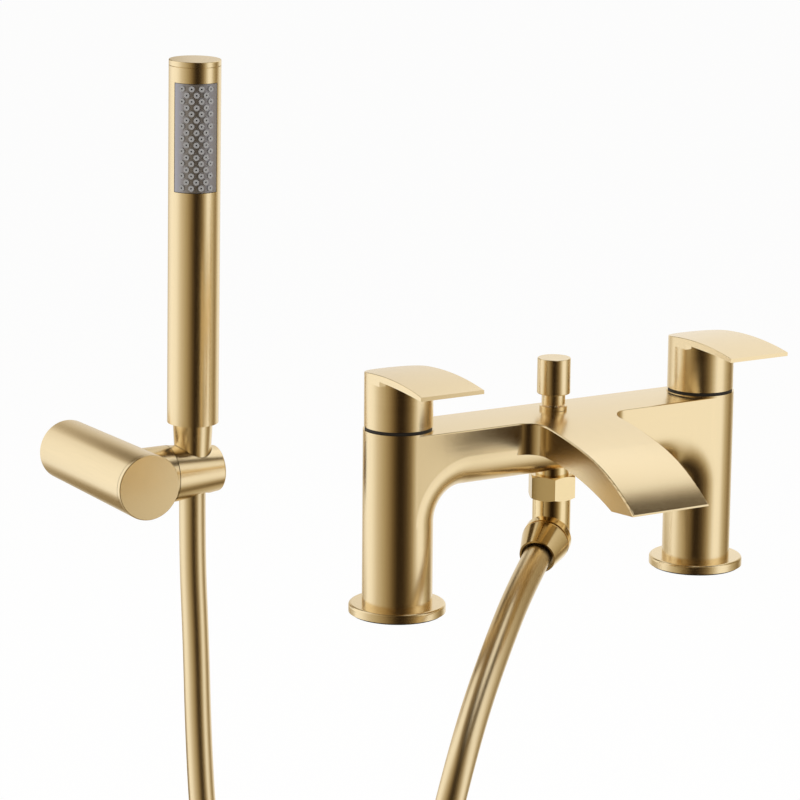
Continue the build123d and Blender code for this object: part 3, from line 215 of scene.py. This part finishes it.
def tubeMesh(name, line, radius, sides):
    # A ring of points round each point p of the line, p + r (cos t side + sin t other), in a frame that is carried
    # along without twisting
    ahead = np.gradient(line, axis=0)
    ahead /= np.linalg.norm(ahead, axis=1)[:, None]
    side = np.empty_like(line)
    side[0] = np.cross(ahead[0], (0.0, 0.0, 1.0))
    side[0] /= np.linalg.norm(side[0])
    for row in range(1, len(line)):
        carried = side[row - 1] - ahead[row] * (side[row - 1] @ ahead[row])
        side[row] = carried / np.linalg.norm(carried)
    other = np.cross(ahead, side)
    turn = np.linspace(0, 2 * np.pi, sides, endpoint=False)
    rows = line[:, None, :] + radius * (
        np.cos(turn)[None, :, None] * side[:, None, :] + np.sin(turn)[None, :, None] * other[:, None, :]
    )
    return gridMesh(name, rows)


def addPiece(name, mesh):
    # A mesh at the origin, as a new object of the scene
    piece = addObject(name, mesh)
    return piece


def hosePart(name, line, bodies, stands=()):
    # One length of the hose: it rides on one body, or stays where it is made when it lies between two.
    # Its length is the sum of the steps of its line
    piece = addPiece(name, tubeMesh(name, line, hose["radius"], hose["sides"]))
    if len(bodies) == 1:
        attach(piece, bodies[0])
    else:
        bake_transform(piece)
    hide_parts(*stands)
    return piece


hoseLine = splineLine("hoseLine", hosePoints(hose), hose)
# The last points of the line below the two heights
riseAt, topAt = (int(np.nonzero(hoseLine[:, 2] < hose[key])[0][-1]) for key in ("riseStart", "topStart"))
hosePieces = [
    hosePart(
        "showerHose", hoseLine[: riseAt + 1], ["fixed"],
        stands=["hose_mixer_stretch", "hose_coil"],
    ),
    hosePart("hoseRise", hoseLine[riseAt : topAt + 1], ["fixed", "tilting_holder"]),
    hosePart(
        "hoseTop", hoseLine[topAt:], ["tilting_holder", "handset"],
        stands=["hose_handset_stretch"],
    ),
]
print("hose made")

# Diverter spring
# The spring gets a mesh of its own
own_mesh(frame["nodes"]["diverter_spring"])
print("spring set")

# Shader groups
grainEffect = {
    "detail": 3.0,
    "coarseShare": 0.35,        # of the coarse streaks in the mask
    "coarseScale": 0.12,        # times the fine grain's frequency
    "bumpHeight": 0.0001,       # metres, at a depth of 1
}
regionEdge = 0.001              # width of the edge between two grains
# Indices of the first input, the second input and the result of a Mix node
mixSockets = {"VECTOR": (4, 5, 1), "RGBA": (6, 7, 2)}


def addNode(tree, kind, **values):
    # A new node with the given values
    node = tree.nodes.new(kind)
    for key, value in values.items():
        setattr(node, key, value)
    return node


def feed(tree, socket, value):
    # Links the input to a socket, or sets it to a plain value
    if isinstance(value, bpy.types.NodeSocket):
        tree.links.new(value, socket)
    else:
        socket.default_value = value


def mathNode(tree, operation, first, second=None, third=None):
    # operation(first, second, third), where each is a socket or a plain number
    node = addNode(tree, "ShaderNodeMath", operation=operation)
    for socket, value in zip(node.inputs, (first, second, third)):
        if value is not None:
            feed(tree, socket, value)
    return node.outputs[0]


def mixNode(tree, kind, share, first, second):
    # (1 - share) first + share second, where each is a socket or a plain value
    node = addNode(tree, "ShaderNodeMix", data_type=kind)
    firstIndex, secondIndex, resultIndex = mixSockets[kind]
    for index, value in ((0, share), (firstIndex, first), (secondIndex, second)):
        feed(tree, node.inputs[index], value)
    return node.outputs[resultIndex]


def mixShaders(tree, share, first, second):
    # (1 - share) first + share second, of two shaders
    node = addNode(tree, "ShaderNodeMixShader")
    for socket, value in zip(node.inputs, (share, first, second)):
        feed(tree, socket, value)
    return node.outputs[0]


def startGroup(name, inputs, outputs):
    # A shader group with the given sockets, as (name, kind, default) and (name, kind)
    group = bpy.data.node_groups.new(name, "ShaderNodeTree")
    for label, kind, default in inputs:
        group.interface.new_socket(label, in_out="INPUT", socket_type=kind).default_value = default
    for label, kind in outputs:
        group.interface.new_socket(label, in_out="OUTPUT", socket_type=kind)
    return group, addNode(group, "NodeGroupInput"), addNode(group, "NodeGroupOutput")


def makeGrainGroup(settings):
    # mask = (1 - c) noise(p g) + c noise(p g s); roughness = low + (high - low) mask; the normal bumps by the mask
    group, entry, leave = startGroup(
        "brushedGrain",
        [
            ("Grain", "NodeSocketVector", (1000.0, 1000.0, 60.0)),
            ("Low", "NodeSocketFloat", 0.2),
            ("High", "NodeSocketFloat", 0.3),
            ("Depth", "NodeSocketFloat", 0.1),
        ],
        [("Mask", "NodeSocketFloat"), ("Roughness", "NodeSocketFloat"), ("Normal", "NodeSocketVector")],
    )
    coordinates = addNode(group, "ShaderNodeTexCoord")
    stretched = addNode(group, "ShaderNodeVectorMath", operation="MULTIPLY")
    feed(group, stretched.inputs[0], coordinates.outputs["Object"])
    feed(group, stretched.inputs[1], entry.outputs["Grain"])
    masks = []
    for scale in (1.0, settings["coarseScale"]):
        noise = addNode(group, "ShaderNodeTexNoise")
        noise.inputs["Scale"].default_value = scale
        noise.inputs["Detail"].default_value = settings["detail"]
        feed(group, noise.inputs["Vector"], stretched.outputs[0])
        masks.append(noise.outputs["Fac"])
    fine = mathNode(group, "MULTIPLY", masks[0], 1 - settings["coarseShare"])
    mask = mathNode(group, "MULTIPLY_ADD", masks[1], settings["coarseShare"], fine)
    span = mathNode(group, "SUBTRACT", entry.outputs["High"], entry.outputs["Low"])
    rough = mathNode(group, "MULTIPLY_ADD", mask, span, entry.outputs["Low"])
    bump = addNode(group, "ShaderNodeBump")
    bump.inputs["Distance"].default_value = settings["bumpHeight"]
    feed(group, bump.inputs["Strength"], entry.outputs["Depth"])
    feed(group, bump.inputs["Height"], mask)
    for label, value in (("Mask", mask), ("Roughness", rough), ("Normal", bump.outputs["Normal"])):
        feed(group, leave.inputs[label], value)
    return group


def makeRegionGroup():
    # mask = (p . pick - limit) / edge between 0 and 1: 1 where the picked coordinate is past the limit
    group, entry, leave = startGroup(
        "regionMask",
        [
            ("Pick", "NodeSocketVector", (0.0, 0.0, 1.0)),
            ("Limit", "NodeSocketFloat", 0.0),
            ("Edge", "NodeSocketFloat", regionEdge),
        ],
        [("Mask", "NodeSocketFloat")],
    )
    coordinates = addNode(group, "ShaderNodeTexCoord")
    along = addNode(group, "ShaderNodeVectorMath", operation="DOT_PRODUCT")
    feed(group, along.inputs[0], coordinates.outputs["Object"])
    feed(group, along.inputs[1], entry.outputs["Pick"])
    past = mathNode(group, "SUBTRACT", along.outputs["Value"], entry.outputs["Limit"])
    part = mathNode(group, "DIVIDE", past, entry.outputs["Edge"])
    clamp = addNode(group, "ShaderNodeClamp")
    feed(group, clamp.inputs["Value"], part)
    feed(group, leave.inputs["Mask"], clamp.outputs["Result"])
    return group


grainGroup = makeGrainGroup(grainEffect)
regionGroup = makeRegionGroup()
print("shader groups made")

# Materials. A grain is its frequencies per metre along X, Y and Z, low along the brushing and high across it
fineGrain, longGrain, castGrain = 1900.0, 40.0, 700.0
alongX = (longGrain, fineGrain, fineGrain)
alongY = (fineGrain, longGrain, fineGrain)
alongZ = (fineGrain, fineGrain, longGrain)
roundZ = (longGrain, longGrain, fineGrain)
cast = (castGrain, castGrain, castGrain)

satinBrass = {"base": (0.86, 0.70, 0.43), "low": 0.17, "high": 0.29, "depth": 0.14, "shade": 0.94}
shinyBrass = {"base": (0.84, 0.67, 0.38), "low": 0.10, "high": 0.17, "depth": 0.05, "shade": 0.96}
turnedBrass = {"base": (0.72, 0.55, 0.30), "low": 0.28, "high": 0.42, "depth": 0.2, "shade": 0.85}
satinSteel = {"base": (0.56, 0.55, 0.53), "low": 0.24, "high": 0.36, "depth": 0.12, "shade": 0.92}
spraySteel = {"base": (0.45, 0.45, 0.5), "low": 0.5, "high": 0.6, "depth": 0.08, "shade": 0.9}
hoseSkin = {"base": (0.84, 0.69, 0.43), "low": 0.26, "high": 0.32, "depth": 0.02, "shade": 0.97}


def startMaterial(name):
    # A new material and its node tree
    material = bpy.data.materials.new(name)
    material.use_nodes = True
    return material, material.node_tree


def makeMetal(name, settings, grain, regions=()):
    # base colour = base x (shade + (1 - shade) 2 mask); regions are (pick, limit, grain) laid over the first grain
    material, tree = startMaterial(name)
    shader = tree.nodes["Principled BSDF"]
    effect = addNode(tree, "ShaderNodeGroup", node_tree=grainGroup)
    effect.inputs["Grain"].default_value = grain
    effect.inputs["Low"].default_value = settings["low"]
    effect.inputs["High"].default_value = settings["high"]
    effect.inputs["Depth"].default_value = settings["depth"]
    mixed = grain
    for pick, limit, other in regions:
        region = addNode(tree, "ShaderNodeGroup", node_tree=regionGroup)
        region.inputs["Pick"].default_value = pick
        region.inputs["Limit"].default_value = limit
        mixed = mixNode(tree, "VECTOR", region.outputs["Mask"], mixed, other)
    feed(tree, effect.inputs["Grain"], mixed)
    dark = (*(channel * settings["shade"] for channel in settings["base"]), 1)
    light = (*(min(1, channel * (2 - settings["shade"])) for channel in settings["base"]), 1)
    feed(tree, shader.inputs["Base Color"], mixNode(tree, "RGBA", effect.outputs["Mask"], dark, light))
    feed(tree, shader.inputs["Roughness"], effect.outputs["Roughness"])
    feed(tree, shader.inputs["Normal"], effect.outputs["Normal"])
    shader.inputs["Metallic"].default_value = 1.0
    return material


def makePlain(name, settings):
    # The same colour mix on a material that isn't metal
    material = makeMetal(name, settings, cast)
    shader = material.node_tree.nodes["Principled BSDF"]
    shader.inputs["Metallic"].default_value = 0.0
    shader.inputs["Specular IOR Level"].default_value = settings["specular"]
    return material


bodyRegions = [
    ((1.0, 0.0, 0.0), 0.0725, alongZ),      # the right pillar
    ((-1.0, 0.0, 0.0), 0.0725, alongZ),     # the left pillar
    ((0.0, -1.0, 0.0), 0.0180, alongY),     # the spout, in front of the bridge
]
leverRegions = [((0.0, 0.0, 1.0), 0.1190, alongY)]      # the lever's plate, above its cylinder

materials = {
    "body": makeMetal("body", satinBrass, alongX, bodyRegions),
    "lever": makeMetal("lever", satinBrass, roundZ, leverRegions),
    "brassRound": makeMetal("brassRound", satinBrass, roundZ),
    "brassX": makeMetal("brassX", satinBrass, alongX),
    "brassY": makeMetal("brassY", satinBrass, alongY),
    "brassZ": makeMetal("brassZ", satinBrass, alongZ),
    "polished_brass": makeMetal("polishedBrass", shinyBrass, cast),
    "raw_brass": makeMetal("rawBrass", turnedBrass, roundZ),
    "hose": makeMetal("hoseSkin", hoseSkin, cast),
    "steel": makeMetal("steel", satinSteel, cast),
    "spray_steel": makeMetal("spraySteel", spraySteel, alongZ),
    "nozzle_rubber": makePlain(
        "nozzleRubber",
        {"base": (0.32, 0.315, 0.315), "low": 0.36, "high": 0.46, "depth": 0.1, "shade": 0.95, "specular": 0.6},
    ),
    "seal_rubber": makePlain(
        "sealRubber",
        {"base": (0.018, 0.018, 0.018), "low": 0.55, "high": 0.7, "depth": 0.1, "shade": 0.8, "specular": 0.3},
    ),
    "dark_ring": makePlain(
        "darkRing",
        {"base": (0.02, 0.016, 0.012), "low": 0.45, "high": 0.6, "depth": 0.1, "shade": 0.8, "specular": 0.4},
    ),
    "dark_plastic": makePlain(
        "darkPlastic",
        {"base": (0.05, 0.05, 0.05), "low": 0.4, "high": 0.5, "depth": 0.1, "shade": 0.85, "specular": 0.5},
    ),
    "ceramic": makePlain(
        "ceramic",
        {"base": (0.86, 0.85, 0.81), "low": 0.2, "high": 0.3, "depth": 0.02, "shade": 0.97, "specular": 0.5},
    ),
    "tie": makePlain(
        "tie",
        {"base": (0.04, 0.04, 0.04), "low": 0.45, "high": 0.6, "depth": 0.1, "shade": 0.85, "specular": 0.4},
    ),
}

# Brushed pieces whose grain runs another way than round them
brushedPieces = {
    "mixer_body": "body",
    "left_handle": "lever",
    "right_handle": "lever",
    "bracket_barrel": "brassY",
    "bracket_front_cap": "brassX",
    "bracket_arm": "brassX",
    "handset_tube": "brassZ",
}


def paint(piece, finish):
    # One material on the whole mesh
    piece.data.materials.clear()
    piece.data.materials.append(materials[finish])


slotOf = {row["node"]: row["material_slot"] for row in frame["record"]["subparts"]}
for nodeName, node in frame["nodes"].items():
    finish = slotOf[nodeName]
    if finish == "brushed_brass":
        finish = brushedPieces.get(nodeName, "brassRound")
    paint(node, finish)
for hosePiece in hosePieces:
    paint(hosePiece, "hose")
print("materials made")

# Floor, world, studio and lamps
floorSettings = {
    "height": -0.377,
    "size": 24.0,
    "colour": (0.93, 0.93, 0.92),
    "whiteShare": 0.92,     # of plain white in what the camera and the metal see of the floor
}


def backgroundRay(tree):
    # 1 for camera, glossy and transmission rays, and 0 for the rest
    path = addNode(tree, "ShaderNodeLightPath")
    first = mathNode(tree, "MAXIMUM", path.outputs["Is Camera Ray"], path.outputs["Is Glossy Ray"])
    return mathNode(tree, "MAXIMUM", first, path.outputs["Is Transmission Ray"])


def makeFloor(settings):
    # A square at the given height; its look = mix(diffuse colour, white emission, share x background ray)
    half = settings["size"] / 2
    corners = [(-half, -half), (half, -half), (half, half), (-half, half)]
    mesh = bpy.data.meshes.new("floor")
    mesh.from_pydata([(x, y, settings["height"]) for x, y in corners], [], [(0, 1, 2, 3)])
    floor = addObject("floor", mesh)
    material, tree = startMaterial("floor")
    tree.nodes.remove(tree.nodes["Principled BSDF"])
    diffuse = addNode(tree, "ShaderNodeBsdfDiffuse")
    diffuse.inputs["Color"].default_value = (*settings["colour"], 1)
    white = addNode(tree, "ShaderNodeEmission")
    share = mathNode(tree, "MULTIPLY", backgroundRay(tree), settings["whiteShare"])
    look = mixShaders(tree, share, diffuse.outputs[0], white.outputs[0])
    feed(tree, tree.nodes["Material Output"].inputs["Surface"], look)
    mesh.materials.append(material)


worldSettings = {"colour": (1.0, 0.985, 0.96), "strength": 0.75}


def makeWorld(settings):
    # White at strength 1 to background rays, and the soft light of the room to the rest. It is found by bounced rays
    # only, because a shadow ray would reach it through the studio
    world = bpy.data.worlds.new("room")
    world.use_nodes = True
    tree = world.node_tree
    room = tree.nodes["Background"]
    room.inputs["Color"].default_value = (*settings["colour"], 1)
    room.inputs["Strength"].default_value = settings["strength"]
    white = addNode(tree, "ShaderNodeBackground")
    white.inputs["Color"].default_value = (1, 1, 1, 1)
    look = mixShaders(tree, backgroundRay(tree), room.outputs[0], white.outputs[0])
    feed(tree, tree.nodes["World Output"].inputs["Surface"], look)
    world.cycles.sampling_method = "NONE"
    scene.world = world


# The studio that the metal reflects: a tone for each angle round the mixer, counted from the camera's side and above
# zero to its right, dimmed by a fade for each elevation. All angles are in degrees
studio = {
    "centre": (-0.05, 0.03, 0.05),
    "radius": 0.72,
    "columns": 180,
    "rows": 60,
    "steepest": 89.5,       # elevation of the first and last row
    "base": -0.3765,        # height of its flat bottom
    "angles": [
        -180, -165, -147, -130, -112, -88, -66, -46, -29, -12, -2,
        12, 24, 38, 53, 66, 84, 96, 122, 136, 150, 180,
    ],
    "tones": [
        0.9, 0.8, 0.66, 0.95, 1.15, 1.05, 0.7, 0.5, 0.32, 0.1, 0.0,
        0.0, 0.06, 0.22, 0.62, 1.1, 1.05, 0.6, 0.22, 0.6, 1.0, 0.92,
    ],
    "elevations": [-90, -60, -45, -30, -20, 25, 52, 58, 63, 90],
    "fades": [0.42, 0.48, 0.76, 0.98, 1.0, 1.0, 1.0, 0.4, 0.2, 0.2],
    # Soft cards laid over those tones: angle, half width, elevation, half height, tone
    "cards": [
        (-147, 16, 33, 11, 0.06),
        (-132, 18, -32, 12, 0.3),
        (85, 60, 76, 12, 1.1),
        (142, 30, 50, 10, 1.2),
        (77, 30, 53, 9, 0.0),
    ],
    "edge": 5.0,            # width of a card's soft edge
    # Red, green and blue of each level of tone
    "levels": [0, 0.16, 0.34, 0.49, 0.7, 1.05, 1.2],
    "red": [0.02, 0.158, 0.34, 0.49, 0.70, 1.05, 1.15],
    "green": [0.011, 0.108, 0.262, 0.42, 0.635, 1.05, 1.16],
    "blue": [0.005, 0.048, 0.15, 0.28, 0.53, 1.05, 1.2],
}


def studioPoints(settings, turn, rise):
    # A point lies at the radius, or nearer where the base cuts it: r = min(R, (base - z) / sin(elevation))
    centre = np.array(settings["centre"])
    cameraAngle = math.atan2(-viewForward.y, -viewForward.x)
    turns, rises = np.meshgrid(np.radians(turn) + cameraAngle, np.radians(rise), indexing="xy")
    sines = np.sin(rises)
    directions = np.stack((np.cos(turns) * np.cos(rises), np.sin(turns) * np.cos(rises), sines), axis=-1)
    toBase = (settings["base"] - centre[2]) / np.where(sines < 0, sines, -1)
    reach = np.where(sines < 0, np.minimum(settings["radius"], toBase), settings["radius"])
    return centre + reach[..., None] * directions


def studioTones(settings, turn, rise):
    # tone = angle tone x elevation fade, then mixed with each card's tone by its soft share, where
    # share = clip(1/2 + (half width - |turn - angle|) / edge) x clip(1/2 + (half height - |rise - elevation|) / edge)
    tone = np.outer(
        np.interp(rise, settings["elevations"], settings["fades"]),
        np.interp(turn, settings["angles"], settings["tones"]),
    )
    for angle, halfWidth, elevation, halfHeight, cardTone in settings["cards"]:
        across = (halfWidth - np.abs(turn - angle))[None, :] / settings["edge"]
        up = (halfHeight - np.abs(rise - elevation))[:, None] / settings["edge"]
        share = np.clip(0.5 + across, 0, 1) * np.clip(0.5 + up, 0, 1)
        tone = tone + (cardTone - tone) * share
    return tone


def makeStudio(settings):
    # A closed shell whose tones turn into red, green and blue by the levels; seen by glossy rays only
    turn = np.linspace(-180, 180, settings["columns"] + 1)
    rise = np.linspace(-settings["steepest"], settings["steepest"], settings["rows"])
    mesh = gridMesh("studio", studioPoints(settings, turn, rise), closedAcross=False)
    tone = studioTones(settings, turn, rise)
    channels = [np.interp(tone, settings["levels"], settings[channel]) for channel in ("red", "green", "blue")]
    layer = mesh.color_attributes.new("tone", "FLOAT_COLOR", "POINT")
    layer.data.foreach_set("color", np.stack((*channels, np.ones_like(tone)), axis=-1).ravel())
    dome = addObject("studio", mesh)
    for ray in ("camera", "diffuse", "shadow", "transmission", "volume_scatter"):
        setattr(dome, "visible_" + ray, False)
    material, tree = startMaterial("studio")
    tree.nodes.remove(tree.nodes["Principled BSDF"])
    glow = addNode(tree, "ShaderNodeEmission")
    attribute = addNode(tree, "ShaderNodeAttribute", attribute_name="tone")
    feed(tree, glow.inputs["Color"], attribute.outputs["Color"])
    feed(tree, tree.nodes["Material Output"].inputs["Surface"], glow.outputs[0])
    mesh.materials.append(material)


lamps = {
    "keyLamp": {"place": (-0.9, -0.9, 1.5), "size": 0.8, "power": 9.0},
    "sideLamp": {"place": (1.3, -0.7, 0.9), "size": 0.7, "power": 6.0},
    "backLamp": {"place": (0.3, 1.3, 1.2), "size": 0.8, "power": 5.0},
}


def makeLamp(name, settings, target):
    # A square area lamp that faces the target
    lamp = bpy.data.lights.new(name, "AREA")
    lamp.size = settings["size"]
    lamp.energy = settings["power"]
    lampObject = addObject(name, lamp)
    lampObject.location = settings["place"]
    lampObject.rotation_euler = (Vector(target) - Vector(settings["place"])).to_track_quat("-Z", "Y").to_euler()
    lampObject.visible_glossy = False


makeFloor(floorSettings)
makeWorld(worldSettings)
makeStudio(studio)
for lampName, lampSettings in lamps.items():
    makeLamp(lampName, lampSettings, studio["centre"])
print("light made")
